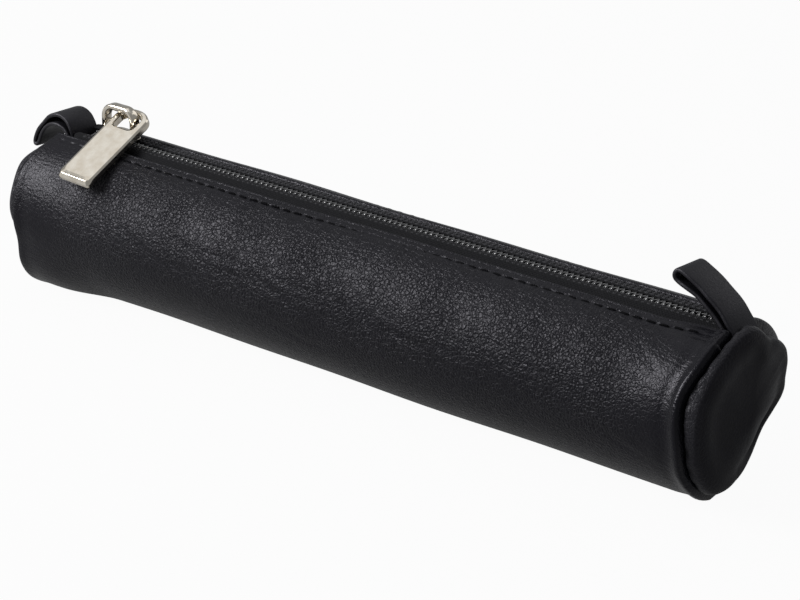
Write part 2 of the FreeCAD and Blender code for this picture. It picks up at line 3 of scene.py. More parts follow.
import bmesh
import bpy
import numpy as np
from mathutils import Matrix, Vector


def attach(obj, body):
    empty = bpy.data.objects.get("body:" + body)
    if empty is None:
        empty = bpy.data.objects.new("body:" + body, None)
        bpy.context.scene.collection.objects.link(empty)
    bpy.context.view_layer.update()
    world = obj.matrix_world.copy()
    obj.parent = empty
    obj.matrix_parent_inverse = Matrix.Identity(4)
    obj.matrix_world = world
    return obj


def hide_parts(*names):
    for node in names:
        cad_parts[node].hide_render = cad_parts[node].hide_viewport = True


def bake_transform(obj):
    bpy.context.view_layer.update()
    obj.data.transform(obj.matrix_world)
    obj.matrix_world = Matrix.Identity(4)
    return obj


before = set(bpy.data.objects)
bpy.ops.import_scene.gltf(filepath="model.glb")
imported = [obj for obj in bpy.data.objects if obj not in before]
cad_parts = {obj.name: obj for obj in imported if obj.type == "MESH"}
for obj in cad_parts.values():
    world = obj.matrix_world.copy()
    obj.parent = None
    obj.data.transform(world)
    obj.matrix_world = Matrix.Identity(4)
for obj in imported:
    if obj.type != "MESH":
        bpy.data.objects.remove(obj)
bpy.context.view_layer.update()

# Lengths are in millimetres and angles in degrees unless a name says otherwise.
# X runs along the tube, -Y is the front, and heights are above the tube's axis until a mesh is made.
# Turns round the tube are counted from the top towards the front. Ends are -1 for left and 1 for right.
MM = 0.001

# The leather tube, the edges of its mouth and the rows of stitches along them
AXIS_HEIGHT = 19.079
TUBE_RADIUS = 20.0
LEATHER_THICK = 1.3
FRONT_EDGE = 17.2
REAR_EDGE = 345.8
STITCH_INSET = 2.6
STITCH_PITCH = 3.5

# The zip: its coils, and the fold where each free tape edge meets its sewn strip
COIL_PITCH = 1.55
ZIP_HALF = 95.4
COIL_MIDDLE = 18.55
TAPE_FOLD = 4.9
TAPE_LOW = 17.2
TAPE_HIGH = 17.8
TAPE_OVERHANG = 2.6
SLIDER_PLACE = -86.1

# Colours of the leather, a lighter colour painted on the end panels' rims as a painted reflection of the
# pale floor, and the span that most of a noise's values fall in
LEATHER_DARK = (0.0032, 0.0031, 0.0044)
LEATHER_LIGHT = (0.0068, 0.0066, 0.0088)
LEATHER_PAINTED_REFLECTION = (0.028, 0.0275, 0.031)
NOISE_SPAN = (0.3, 0.7)

# Share of the white background that shows in glossy surfaces, and how white the floor looks
MIRRORED_WHITE = 0.15
FLOOR_WHITE = 0.955
FLOOR_COLOUR = (0.42, 0.42, 0.42, 1.0)
WORLD_COLOUR = (0.93, 0.96, 1.0, 1.0)
WORLD_LIGHT = 0.25


def smooth(low, high, value):
    """0 below low, 1 above high and an even ease between them; low may be the larger."""
    share = np.clip((value - low) / (high - low), 0.0, 1.0)
    return share * share * (3 - 2 * share)


def hump(value, middle, width):
    """A bell of height 1 at its middle."""
    return np.exp(-((value - middle) / width) ** 2)


def between(p0, p1, p2, p3, share):
    """A place on the smooth curve from p1 to p2, with p0 before them and p3 after."""
    return p1 + 0.5 * share * (p2 - p0 + share * (2 * p0 - 5 * p1 + 4 * p2 - p3
                                                  + share * (3 * (p1 - p2) + p3 - p0)))


def turn_gap(angle, middle):
    """Smallest turn between two angles in degrees."""
    return (angle - middle + 180.0) % 360.0 - 180.0


def around(angle, knots):
    """A smooth closed curve through (angle, value) knots in degrees."""
    places = np.array([knot[0] for knot in knots], float)
    values = np.array([knot[1] for knot in knots], float)
    count = len(knots)
    angle = np.asarray(angle, float) % 360.0
    after = np.searchsorted(places, angle, side="right")
    before = (after - 1) % count
    nxt = after % count
    span = (places[nxt] - places[before]) % 360.0
    share = ((angle - places[before]) % 360.0) / span
    p0, p1 = values[(before - 1) % count], values[before]
    p2, p3 = values[nxt], values[(nxt + 1) % count]
    return between(p0, p1, p2, p3, share)


def spline(points, steps):
    """A smooth open line through points, with a few steps to each."""
    points = np.asarray(points, float)
    ends = np.vstack([2 * points[0] - points[1], points, 2 * points[-1] - points[-2]])
    share = np.linspace(0, 1, steps, endpoint=False)[:, None]
    run = [between(*four, share) for four in zip(ends, ends[1:], ends[2:], ends[3:])]
    return np.vstack(run + [points[-1:]])


def about_axis(along, radius, wave):
    """Points at a radius and a turn in radians about the tube's axis."""
    along, radius, wave = np.broadcast_arrays(along, radius, wave)
    return np.stack([along, -radius * np.sin(wave), radius * np.cos(wave)], -1)


def headings(path):
    """Unit directions along a path."""
    along = np.gradient(path, axis=0)
    return along / np.linalg.norm(along, axis=1)[:, None]


def grid_faces(rows, cols, wrap_rows=False):
    """Quads over closed rows of points; the last row may close on the first."""
    row, col = np.meshgrid(np.arange(rows if wrap_rows else rows - 1), np.arange(cols), indexing="ij")
    below, beside = (row + 1) % rows, (col + 1) % cols
    corners = [row * cols + col, row * cols + beside, below * cols + beside, below * cols + col]
    return np.stack(corners, -1).reshape(-1, 4).tolist()


def tube_faces(rows, cols):
    """A run of rings closed by a cap at both ends."""
    caps = [list(reversed(range(cols))), list(range((rows - 1) * cols, rows * cols))]
    return grid_faces(rows, cols) + caps


def sheet_faces(rows, columns):
    """A thick sheet whose rows run out over one side and back under the other."""
    count = 2 * columns
    faces = grid_faces(rows, count)
    for base in (0, (rows - 1) * count):
        for col in range(columns - 1):
            faces.append([base + col, base + col + 1, base + count - 2 - col, base + count - 1 - col])
    return faces


def make_piece(name, points, faces, material, body, nodes=(), crease=None):
    """A closed mesh from points about the tube's axis; it rides on a body unless that is None."""
    points = np.asarray(points, float).reshape(-1, 3) + (0, 0, AXIS_HEIGHT)
    mesh = bpy.data.meshes.new(name)
    mesh.from_pydata((points * MM).tolist(), [], faces)
    work = bmesh.new()
    work.from_mesh(mesh)
    bmesh.ops.recalc_face_normals(work, faces=work.faces)
    work.to_mesh(mesh)
    work.free()
    mesh.shade_smooth()
    if crease is not None:
        mesh.set_sharp_from_angle(angle=math.radians(crease))
    mesh.materials.append(material)
    piece = bpy.data.objects.new(name, mesh)
    bpy.context.scene.collection.objects.link(piece)
    if nodes:
        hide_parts(*nodes)
    if body is not None:
        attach(piece, body)
    return piece


def merge(parts):
    """Several (points, faces) shells as one."""
    points, faces, first = [], [], 0
    for part_points, part_faces in parts:
        points.append(part_points)
        faces += [[index + first for index in face] for face in part_faces]
        first += len(part_points)
    return np.vstack(points), faces


def rod(path, radius, sides, reference=(1.0, 0.0, 0.0)):
    """A round thread along a path; radius may change from point to point."""
    along = headings(path)
    across = np.cross(along, reference)
    across /= np.linalg.norm(across, axis=1)[:, None]
    upright = np.cross(along, across)
    turn = (np.arange(sides) * 2 * math.pi / sides)[None, :, None]
    ring = across[:, None, :] * np.cos(turn) + upright[:, None, :] * np.sin(turn)
    thick = np.broadcast_to(radius, len(path))
    points = path[:, None, :] + ring * thick[:, None, None]
    return points.reshape(-1, 3), tube_faces(len(path), sides)


def sweep(path, across, offset):
    """A section carried along a path of (x, z) points; offset is its height off the path."""
    along = headings(path)
    normal = np.stack([-along[:, 1], along[:, 0]], -1)
    spots = path[:, None, :] + normal[:, None, :] * offset[..., None]
    return np.stack([spots[..., 0], np.broadcast_to(across, spots.shape[:2]), spots[..., 1]], -1)


def rounded_box(half_width, half_depth, radius, steps=4):
    """Outline of a rectangle with round corners."""
    outline = []
    for corner, (side_a, side_b) in enumerate(((1, 1), (-1, 1), (-1, -1), (1, -1))):
        for step in range(steps + 1):
            turn = math.radians(90 * corner + 90 * step / steps)
            outline.append((side_a * (half_width - radius) + radius * math.cos(turn),
                            side_b * (half_depth - radius) + radius * math.sin(turn)))
    return np.array(outline)


# Materials

def start_material(name):
    """A new material with its nodes and its shader."""
    material = bpy.data.materials.new(name)
    material.use_nodes = True
    return material, material.node_tree, material.node_tree.nodes["Principled BSDF"]


def node(tree, kind, inputs=None, **settings):
    """A new node; an input is a plain value or another node's output."""
    made = tree.nodes.new(kind)
    for name, value in settings.items():
        setattr(made, name, value)
    for key, value in (inputs or {}).items():
        if isinstance(value, bpy.types.NodeSocket):
            tree.links.new(value, made.inputs[key])
        else:
            made.inputs[key].default_value = value
    return made


def maths(tree, operation, first, second=0.0):
    """One operation on numbers or outputs."""
    return node(tree, "ShaderNodeMath", {0: first, 1: second}, operation=operation).outputs[0]


def times(tree, first, second):
    """Product of numbers or outputs."""
    return maths(tree, "MULTIPLY", first, second)


def plus(tree, first, second):
    """Sum of numbers or outputs."""
    return maths(tree, "ADD", first, second)


def vector_maths(tree, operation, first, second):
    """One operation on vectors."""
    return node(tree, "ShaderNodeVectorMath", {0: first, 1: second}, operation=operation).outputs[0]


def remap(tree, value, low, high, to_low=0.0, to_high=1.0):
    """Stretch low to high onto another span, held at its ends."""
    return node(tree, "ShaderNodeMapRange", {"Value": value, "From Min": low, "From Max": high,
                                             "To Min": to_low, "To Max": to_high}).outputs[0]


def place_in_mm(tree, scale=(1.0, 1.0, 1.0)):
    """Where a point is on its piece, in millimetres, stretched by a scale."""
    spot = node(tree, "ShaderNodeTexCoord").outputs["Object"]
    return node(tree, "ShaderNodeMapping", {"Vector": spot, "Scale": [1000.0 * s for s in scale]}).outputs[0]


def noise(tree, spot, scale, detail, output="Fac"):
    """A soft random cloud of about this many swells to a millimetre."""
    made = node(tree, "ShaderNodeTexNoise", {"Vector": spot, "Scale": scale, "Detail": detail})
    return made.outputs[output]


def cells(tree, spot, scale):
    """Distance from the nearest edge of irregular cells."""
    made = node(tree, "ShaderNodeTexVoronoi", {"Vector": spot, "Scale": scale}, feature="DISTANCE_TO_EDGE")
    return made.outputs["Distance"]


def mix_colour(tree, share, first, second):
    """A blend of two colours; each is three numbers or another node's output."""
    inputs = {"Factor": share}
    for key, colour in (("A", first), ("B", second)):
        inputs[key] = colour if isinstance(colour, bpy.types.NodeSocket) else (*colour, 1.0)
    return node(tree, "ShaderNodeMix", inputs, data_type="RGBA").outputs["Result"]


def pebbles(tree, spot):
    """Round grains of about 1 mm with smaller ones among them; their edges wander."""
    wander = vector_maths(tree, "MULTIPLY", noise(tree, spot, 0.55, 3.0, "Color"), (1.5, 1.5, 1.5))
    bent = vector_maths(tree, "ADD", spot, wander)
    large = remap(tree, cells(tree, bent, 1.05), 0.0, 0.34)
    small = remap(tree, cells(tree, bent, 1.9), 0.0, 0.36)
    return plus(tree, maths(tree, "SQRT", large), times(tree, small, 0.3))


def bump(tree, shader, height, depth):
    """Press a height of 0 to 1 into the surface; depth is in millimetres."""
    pressed = node(tree, "ShaderNodeBump", {"Height": height, "Distance": depth * MM, "Strength": 1.0})
    tree.links.new(pressed.outputs["Normal"], shader.inputs["Normal"])


def leather_material(name, grain_depth, streak, roughness, sheen, kind):
    """Black leather. A tube's grain is flatter by its ends, top and foot; a panel's rim is glossier, and a
    painted reflection of the pale floor lightens its colour.
    """
    material, tree, shader = start_material(name)
    spot = place_in_mm(tree)
    pebble = pebbles(tree, spot)
    fine = noise(tree, spot, 2.6, 4.0)
    streaks = noise(tree, place_in_mm(tree, (0.45, 1.5, 1.5)), 1.0, 4.0)
    patch = remap(tree, noise(tree, spot, 0.06, 2.0), 0.35, 0.65, 0.55, 1.0)
    grain = times(tree, pebble, patch)
    colour = mix_colour(tree, noise(tree, spot, 0.11, 4.0), LEATHER_DARK, LEATHER_LIGHT)
    polish = None
    if kind == "tube":
        # Z is the height above the table here
        place = node(tree, "ShaderNodeSeparateXYZ", {"Vector": spot}).outputs
        from_end = remap(tree, maths(tree, "ABSOLUTE", place["X"]), 78.0, 96.0, 1.0, 0.25)
        from_top = remap(tree, place["Z"], 33.0, 37.5, 1.0, 0.5)
        from_foot = remap(tree, place["Z"], 4.0, 18.0, 0.5, 1.0)
        for share in (from_end, from_top, from_foot):
            grain = times(tree, grain, share)
        polish = remap(tree, place["X"], 92.0, 98.0, 0.0, 0.8)
    if kind == "panel":
        flat = vector_maths(tree, "MULTIPLY", spot, (0.0, 1.0, 1.0))
        arm = vector_maths(tree, "SUBTRACT", flat, (0.0, 0.0, AXIS_HEIGHT))
        span = node(tree, "ShaderNodeVectorMath", {0: arm}, operation="LENGTH").outputs["Value"]
        polish = remap(tree, span, 15.5, 18.3)
        # The rim's colour is painted lighter in patches, as a painted reflection of the pale floor
        reflection_by_rim = remap(tree, span, 17.4, 19.2, 0.0, 0.9)
        painted_reflection = times(tree, reflection_by_rim, remap(tree, fine, *NOISE_SPAN, 0.35, 1.0))
        colour = mix_colour(tree, painted_reflection, colour, LEATHER_PAINTED_REFLECTION)
        grain = times(tree, grain, plus(tree, 0.6, times(tree, polish, 1.5)))
    height = plus(tree, grain, times(tree, fine, 0.12))
    height = plus(tree, height, times(tree, streaks, streak))
    bump(tree, shader, height, grain_depth)
    tree.links.new(colour, shader.inputs["Base Color"])
    gloss = remap(tree, fine, *NOISE_SPAN, roughness - 0.05, roughness + 0.06)
    gloss = plus(tree, gloss, times(tree, pebble, -0.04))
    if polish is not None:
        gloss = maths(tree, "SUBTRACT", gloss, times(tree, polish, 0.10))
    tree.links.new(gloss, shader.inputs["Roughness"])
    shader.inputs["Specular IOR Level"].default_value = sheen
    shader.inputs["Specular Tint"].default_value = (0.93, 0.91, 1.0, 1.0)
    return material


def woven_material(name, dark, light, ribs, slant):
    """Plain woven fabric: ribs along one way crossed by finer picks."""
    material, tree, shader = start_material(name)
    spot = place_in_mm(tree)
    place = node(tree, "ShaderNodeSeparateXYZ", {"Vector": spot}).outputs
    across = plus(tree, place["Y"], times(tree, place["X"], slant))
    warp = maths(tree, "SINE", times(tree, across, ribs))
    picks = 1.3 * ribs
    weft = maths(tree, "SINE", times(tree, place["X"], picks))
    weave = remap(tree, times(tree, warp, weft), -1.0, 1.0)
    fuzz = noise(tree, spot, 3.0, 3.0)
    height = plus(tree, weave, times(tree, fuzz, 0.5))
    bump(tree, shader, height, 0.09)
    tree.links.new(mix_colour(tree, height, dark, light), shader.inputs["Base Color"])
    tree.links.new(remap(tree, fuzz, *NOISE_SPAN, 0.72, 0.9), shader.inputs["Roughness"])
    shader.inputs["Specular IOR Level"].default_value = 0.12
    shader.inputs["Sheen Weight"].default_value = 0.02
    return material


def nylon_material(name, dark, light):
    """Moulded nylon filament with a slight drawn grain."""
    material, tree, shader = start_material(name)
    drawn = noise(tree, place_in_mm(tree), 4.0, 3.0)
    tree.links.new(mix_colour(tree, drawn, dark, light), shader.inputs["Base Color"])
    tree.links.new(remap(tree, drawn, *NOISE_SPAN, 0.14, 0.22), shader.inputs["Roughness"])
    bump(tree, shader, drawn, 0.02)
    shader.inputs["IOR"].default_value = 1.6
    shader.inputs["Specular IOR Level"].default_value = 1.0
    return material


def nickel_material(name, dark, light):
    """Polished nickel: faint rub marks along the part and a little unevenness in the plating."""
    material, tree, shader = start_material(name)
    cloud = noise(tree, place_in_mm(tree), 0.5, 5.0)
    rub = noise(tree, place_in_mm(tree, (6.0, 0.6, 0.6)), 1.0, 4.0)
    shader.inputs["Metallic"].default_value = 1.0
    plating = mix_colour(tree, remap(tree, cloud, *NOISE_SPAN), dark, light)
    tree.links.new(plating, shader.inputs["Base Color"])
    gloss = plus(tree, remap(tree, rub, 0.35, 0.7, 0.1, 0.2), times(tree, cloud, 0.04))
    tree.links.new(gloss, shader.inputs["Roughness"])
    bump(tree, shader, plus(tree, times(tree, rub, 0.3), cloud), 0.02)
    return material


def thread_material(name, dark, light, sheen):
    """Twisted sewing thread."""
    material, tree, shader = start_material(name)
    spot = place_in_mm(tree)
    place = node(tree, "ShaderNodeSeparateXYZ", {"Vector": spot}).outputs
    slanted = plus(tree, place["X"], times(tree, place["Y"], 1.6))
    ply = remap(tree, maths(tree, "SINE", times(tree, slanted, 11.0)), -1.0, 1.0)
    fuzz = noise(tree, spot, 5.0, 3.0)
    bump(tree, shader, plus(tree, ply, times(tree, fuzz, 0.4)), 0.06)
    tree.links.new(mix_colour(tree, ply, dark, light), shader.inputs["Base Color"])
    tree.links.new(remap(tree, fuzz, *NOISE_SPAN, 0.6, 0.75), shader.inputs["Roughness"])
    shader.inputs["Specular IOR Level"].default_value = sheen
    return material


grained = leather_material("grained_leather", 0.17, 0.7, 0.33, 0.15, "tube")
panel_leather = leather_material("panel_leather", 0.04, 0.3, 0.46, 0.10, "panel")
strap_leather = leather_material("strap_leather", 0.03, 0.4, 0.50, 0.30, "strap")
tape_fabric = woven_material("tape_weave", (0.0015, 0.0015, 0.002), (0.006, 0.006, 0.0075), 9.0, 0.5)
lining_fabric = woven_material("lining_weave", (0.012, 0.012, 0.014), (0.035, 0.035, 0.04), 7.0, 0.0)
nylon = nylon_material("nylon_filament", (0.004, 0.004, 0.005), (0.009, 0.009, 0.011))
nickel = nickel_material("polished_nickel", (0.575, 0.52, 0.435), (0.70, 0.66, 0.585))
thread = thread_material("sewing_thread", (0.0012, 0.0012, 0.0016), (0.004, 0.0039, 0.005), 0.04)
chain_thread = thread_material("chain_thread", (0.008, 0.008, 0.0095), (0.03, 0.0295, 0.034), 0.2)

# Where the end seams run: usual place along the tube and radius, then (turn, value) knots
SEAM_PLACE = {-1: 100.7, 1: 99.5}
SEAM_USUAL = 17.4
SEAM_ALONG = {
    -1: [(0, 0.2), (12, 1.0), (28, 1.4), (46, 3.0), (56, 3.7), (74, 3.8), (90, 3.6), (107, 3.4), (125, 4.4),
         (142, 4.4), (165, 2.6), (195, 1.2), (240, 1.0), (285, 0.6), (330, 0.3)],
    1: [(0, 0.4), (30, 0.9), (48, 0.8), (58, 0.0), (69, -0.5), (81, -0.2), (98, 0.4), (116, 0.0), (135, 0.1),
        (160, -1.2), (185, -2.8), (215, -4.6), (240, -5.0), (265, -3.6), (290, -2.0), (315, -1.0),
        (340, -0.2)],
}
SEAM_RADIUS = {
    -1: [(0, 17.0), (12, 17.8), (28, 18.3), (46, 18.9), (56, 19.1), (74, 18.8), (90, 18.7), (107, 17.6),
         (125, 18.4), (142, 18.6), (165, 17.6), (195, 17.3), (240, 17.4), (285, 17.0), (330, 17.0)],
    1: [(0, 17.4), (30, 18.2), (48, 18.9), (58, 19.1), (69, 19.1), (81, 19.1), (98, 19.0), (116, 19.0),
        (135, 18.6), (160, 17.4), (185, 16.4), (215, 15.8), (240, 15.6), (270, 16.6), (315, 16.8)],
}
# Rims of the end panels, with distances along from the seam's usual place
RIM_RADIUS = {
    -1: [(0, 17.3), (15, 17.6), (34, 18.7), (48, 19.7), (65, 19.4), (80, 19.4), (90, 19.0), (107, 17.6),
         (125, 18.6), (142, 19.2), (165, 18.2), (195, 18.0), (222, 18.6), (245, 17.7), (270, 18.6),
         (295, 17.8), (315, 18.4), (340, 17.5)],
    1: [(0, 19.7), (14, 19.3), (30, 18.9), (47, 19.3), (58, 19.2), (70, 19.6), (95, 19.3), (115, 19.1),
        (140, 18.9), (160, 17.4), (180, 16.4), (205, 16.2), (235, 15.9), (253, 16.9), (268, 17.9),
        (282, 17.2), (305, 18.1), (322, 17.4), (338, 16.9)],
}
RIM_ALONG = {
    -1: [(0, 4.6), (34, 5.2), (50, 6.2), (80, 6.2), (90, 6.0), (107, 5.6), (125, 6.4), (141, 6.4),
         (180, 5.0), (225, 4.2), (270, 4.0), (315, 4.2)],
    1: [(0, 3.9), (20, 3.8), (45, 3.9), (60, 3.6), (90, 3.6), (120, 3.3), (140, 2.8), (160, 1.8), (180, 0.4),
        (215, -1.8), (240, -2.2), (265, -0.6), (290, 1.2), (305, 2.0), (338, 3.5)],
}


def seam_line(side, angle):
    """Distance along the tube and radius of an end seam."""
    return SEAM_PLACE[side] + around(angle, SEAM_ALONG[side]), around(angle, SEAM_RADIUS[side])


# Creases in the body: place along and turn where each starts and ends, depth, width
CREASES = [
    (-62, 62, 6, 84, 0.20, 0.8), (-48, 72, 14, 92, 0.16, 0.7), (-30, 66, 30, 86, 0.18, 0.8),
    (-75, 70, -30, 96, 0.14, 0.9), (0, 74, 52, 90, 0.17, 0.8), (20, 84, 66, 101, 0.13, 0.9),
    (-14, 44, -6, 62, 0.16, 0.7), (-10, 42, -1, 58, 0.12, 0.6), (-18, 50, -12, 66, 0.10, 0.6),
    (34, 58, 62, 78, 0.10, 0.7), (48, 70, 80, 88, 0.12, 0.8), (60, 52, 84, 66, 0.08, 0.7),
    (-80, 60, -62, 84, 0.10, 0.8), (70, 96, 92, 110, 0.10, 0.9), (-40, 100, 10, 112, 0.10, 1.0),
    (-60, 250, 20, 275, 0.14, 0.9), (-20, 285, 50, 300, 0.12, 0.8), (10, 230, 70, 262, 0.12, 0.9),
    (82, 42, 91, 60, 0.14, 0.8), (78, 50, 90, 70, 0.10, 0.7),
]


def creased(along, angle):
    """Depth of all creases at places on the body; each wanders a little and has a raised lip on one side."""
    depth = np.zeros_like(along)
    per_degree = TUBE_RADIUS * math.pi / 180.0
    for x0, turn0, x1, turn1, deep, wide in CREASES:
        run = np.array((x1 - x0, (turn1 - turn0) * per_degree))
        length = np.hypot(*run)
        run /= length
        dx, dy = along - x0, (angle - turn0) * per_degree
        here = dx * run[0] + dy * run[1]
        aside = dy * run[0] - dx * run[1] + 0.9 * np.sin(here * 0.21 + x0)
        ends = smooth(0.0, 0.3, here / length) * smooth(1.0, 0.7, here / length)
        depth += ends * deep * (hump(aside, 0.0, wide) - 0.55 * hump(aside, -1.5 * wide, 1.2 * wide))
    return depth


def body_radius(along, angle):
    """Outer radius of the leather tube away from its end rolls."""
    flat = AXIS_HEIGHT / np.maximum(-np.cos(np.radians(angle)), 1e-6)
    radius = np.minimum(TUBE_RADIUS, flat)
    # Slow swells of soft leather
    radius = radius + 0.14 * np.sin(along * 0.052 + 0.6) * np.sin(np.radians(angle) * 3.0 + 0.4)
    radius += 0.10 * np.sin(along * 0.11 + np.radians(angle) * 2.0)
    radius -= creased(along, angle)
    for side in (-1, 1):
        inward = seam_line(side, angle)[0] - side * along
        from_seam = np.maximum(inward, 0.0)
        # A roll beside the seam and a dip behind it, strongest at the upper front of the right end
        swell = 0.5 + 0.5 * hump(turn_gap(angle, 66.0), 0.0, 34.0)
        swell = swell if side > 0 else 0.35 * swell
        radius += 0.50 * swell * hump(inward, 1.3, 1.1) - 0.34 * swell * hump(inward, 4.2, 1.9)
        radius -= 0.35 * np.exp(-from_seam / 2.5)
        # The tube narrows where its seam does
        pinch = around(angle, [(place, SEAM_USUAL - value) for place, value in SEAM_RADIUS[side]])
        radius -= 0.55 * pinch * np.exp(-from_seam / 6.0)
    # The left end bulges at the lower front
    radius += 1.6 * hump(turn_gap(angle, 140.0), 0.0, 28.0) * smooth(-78.0, -96.0, along)
    return np.minimum(radius, flat)


def body_rows():
    """(share along the plain run, share of the end roll, which end) for each row from left to right."""
    roll = np.linspace(1.0, 0.0, 10)
    even = np.linspace(0.0, 1.0, 280)
    plain = 0.5 * even + 0.25 * (1.0 - np.cos(math.pi * even))
    rows = [(0.0, share, -1) for share in roll]
    rows += [(share, 0.0, 0) for share in plain[1:-1]]
    rows += [(1.0, share, 1) for share in roll[::-1]]
    return rows


def body_columns():
    """Distance round the outside from the front edge, fine by the edges for the stitch grooves."""
    total = TUBE_RADIUS * math.radians(REAR_EDGE - FRONT_EDGE)
    margin = 4.2
    fine = np.arange(0.0, margin, 0.15)
    coarse = np.linspace(margin, total - margin, 152)
    return np.concatenate([fine, coarse, total - fine[::-1]])


def edge_profile(along, distance, total, fade):
    """Depth of the round edges and of the stitch grooves less their lips; fade is for the end rolls."""
    near = np.minimum(distance, total - distance)
    rounding = LEATHER_THICK / 2
    edge = rounding - np.sqrt(np.maximum(rounding ** 2 - np.maximum(rounding - near, 0.0) ** 2, 0.0))
    front = distance < total / 2
    pucker = np.where(front, np.cos(along * 2 * math.pi / STITCH_PITCH), 0.0)
    groove_depth, pucker_depth, groove_width = 0.12, 0.10, 0.38
    groove = (groove_depth + pucker_depth * pucker) * hump(near, STITCH_INSET, groove_width)
    lip = 0.20 * hump(near, 0.70, 0.28) + 0.05 * hump(near, 1.7, 0.5)
    lip += 0.04 * hump(near, STITCH_INSET + 1.0, 0.6)
    lip = np.where(front, lip, 0.0)
    return edge + (groove - lip) * fade


def edge_lean(along, distance):
    """Degrees that the front edge leans over the zip where the zip ends at the right."""
    return 4.5 * smooth(84.0, 97.0, along) * np.exp(-distance / 8.0)


def make_leather_body():
    """One thick sheet from the front edge round to the rear edge, rolled in at both end seams."""
    reach, dip, thinnest = 0.75, 0.5, 0.02
    columns = body_columns()
    total = columns[-1]
    turn = FRONT_EDGE + np.degrees(columns / TUBE_RADIUS)
    left, left_radius = seam_line(-1, turn)
    right, right_radius = seam_line(1, turn)
    by_edge = np.minimum(columns, total - columns) < LEATHER_THICK / 2
    outer, inner = [], []
    for share, roll, side in body_rows():
        quarter = roll * math.pi / 2
        along = reach - left + (left + right - 2 * reach) * share + side * reach * math.sin(quarter)
        wave = np.radians(turn - edge_lean(along, columns))
        profile = edge_profile(along, columns, total, 1.0 - roll)
        radius = body_radius(along, turn) - profile
        if side:
            low = (left_radius if side < 0 else right_radius) - dip
            radius = low + (radius - low) * math.cos(quarter)
        under = radius - np.where(by_edge, np.maximum(LEATHER_THICK - 2 * profile, thinnest), LEATHER_THICK)
        inside = along - side * LEATHER_THICK * math.sin(quarter)
        outer.append(about_axis(along, radius, wave))
        inner.append(about_axis(inside, under, wave))
    loop = np.concatenate([np.array(outer), np.array(inner)[:, ::-1]], axis=1)
    faces = sheet_faces(len(loop), len(columns))
    make_piece("leather_tube", loop, faces, grained, "case", ["leather_body"])


def make_end_panel(side, name, cad_node):
    """A puffed panel: out of the seam, over a gathered rim and across a soft face."""
    turns = np.arange(0.0, 360.0, 1.2)
    steps = 5
    seam, seam_radius = seam_line(side, turns)
    rim = around(turns, RIM_RADIUS[side])
    edge = SEAM_PLACE[side] + around(turns, RIM_ALONG[side])
    middle = SEAM_PLACE[side] + (3.0 if side > 0 else 4.6)
    ones = np.ones_like(turns)

    def face(share):
        return middle + (edge - middle) * smooth(0.15, 1.0, share), rim * share

    gap = edge - seam
    outline = [
        (seam - 1.5, seam_radius - 2.4),
        (seam - 0.35, seam_radius - 1.0),
        (seam + 0.02 * gap, seam_radius - 0.25),
        (seam + 0.16 * gap, seam_radius + 0.75 * (rim - seam_radius)),
        (seam + 0.45 * gap, rim),
        (seam + 0.82 * gap, rim - 0.40),
        (seam + 1.00 * gap, rim - 1.5),
        (edge + 0.20, rim - 4.0),
        face(0.60),
        face(0.40),
        face(0.20),
        (middle * ones, 0.25 * ones),
    ]
    control = np.array([np.stack(point, -1) for point in outline])
    path = spline(control.reshape(len(outline), -1), steps).reshape(-1, len(turns), 2)
    wave = np.radians(turns)
    gathers, gather_depth, rim_row, rim_rows = 31.0, 0.20, 16.0, 5.0
    gather = np.sin(wave * gathers + 1.6 * np.sin(wave * 5.0)) * (0.65 + 0.35 * np.sin(wave * 7.0 + 1.0))
    wrinkle = gather_depth * gather * hump(np.arange(len(path))[:, None], rim_row, rim_rows)
    along, radius = path[..., 0], path[..., 1] + wrinkle
    back = np.stack([along[::-4] - LEATHER_THICK, np.maximum(radius[::-4] - 0.9, 0.2)], -1)
    ring = np.concatenate([np.stack([along, radius], -1), back[:-1]])
    height = np.maximum(ring[..., 1] * np.cos(wave), -AXIS_HEIGHT + 0.15)
    points = np.stack([side * ring[..., 0], -ring[..., 1] * np.sin(wave), height], -1)
    rows, cols = points.shape[:2]
    faces = grid_faces(rows, cols, wrap_rows=True)
    # The front and the back each close on a point in the middle instead of on each other
    centre = [(side * (middle + 0.02), 0.0, 0.0), (side * (middle - LEATHER_THICK), 0.0, 0.0)]
    top = steps * (len(outline) - 1)
    kept = [quad for quad in faces if not (top * cols <= quad[0] < (top + 1) * cols)]
    for row, tip in ((top, rows * cols), (top + 1, rows * cols + 1)):
        for col in range(cols):
            kept.append([row * cols + col, row * cols + (col + 1) % cols, tip])
    points = np.vstack([points.reshape(-1, 3), centre])
    make_piece(name, points, kept, panel_leather, "case", [cad_node])


def make_strap(name, path, cad_node):
    """A leather strap along a path."""
    half_width, thick, edge, crown = 4.25, 1.2, 0.42, 0.10
    section = rounded_box(half_width, thick / 2, edge)
    fall = crown * (section[:, 0] / half_width) ** 2
    wobble = 0.07 * np.sin(np.arange(len(path)) * 0.35)
    across = section[None, :, 0] + wobble[:, None]
    offset = section[None, :, 1] - np.sign(section[None, :, 1]) * fall[None, :]
    points = sweep(path, across, offset)
    strap = make_piece(name, points, tube_faces(len(path), len(section)), strap_leather, None,
                       [cad_node])
    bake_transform(strap)


def right_loop_path():
    """Two layers about one centre with a teardrop at the fold."""
    centre = np.array((76.56, 0.79))
    bend, apart, belly, teardrop = 28.6, 0.68, 0.30, 0.32

    def spot(radius, turn):
        turn = math.radians(turn)
        return centre + radius * np.array((math.cos(turn), math.sin(turn)))

    def layer(side, turns):
        gap = apart + belly * smooth(34, 46, turns) + teardrop * smooth(58, 70, turns)
        return [spot(bend + side * wide, turn) for wide, turn in zip(gap, turns)]

    turns = np.linspace(33.0, 70.0, 10)
    fold = [spot(bend + 0.95, 72.4), spot(bend, 73.2), spot(bend - 0.95, 72.4)]
    return spline(layer(1, turns) + fold + layer(-1, turns[::-1]), 6)


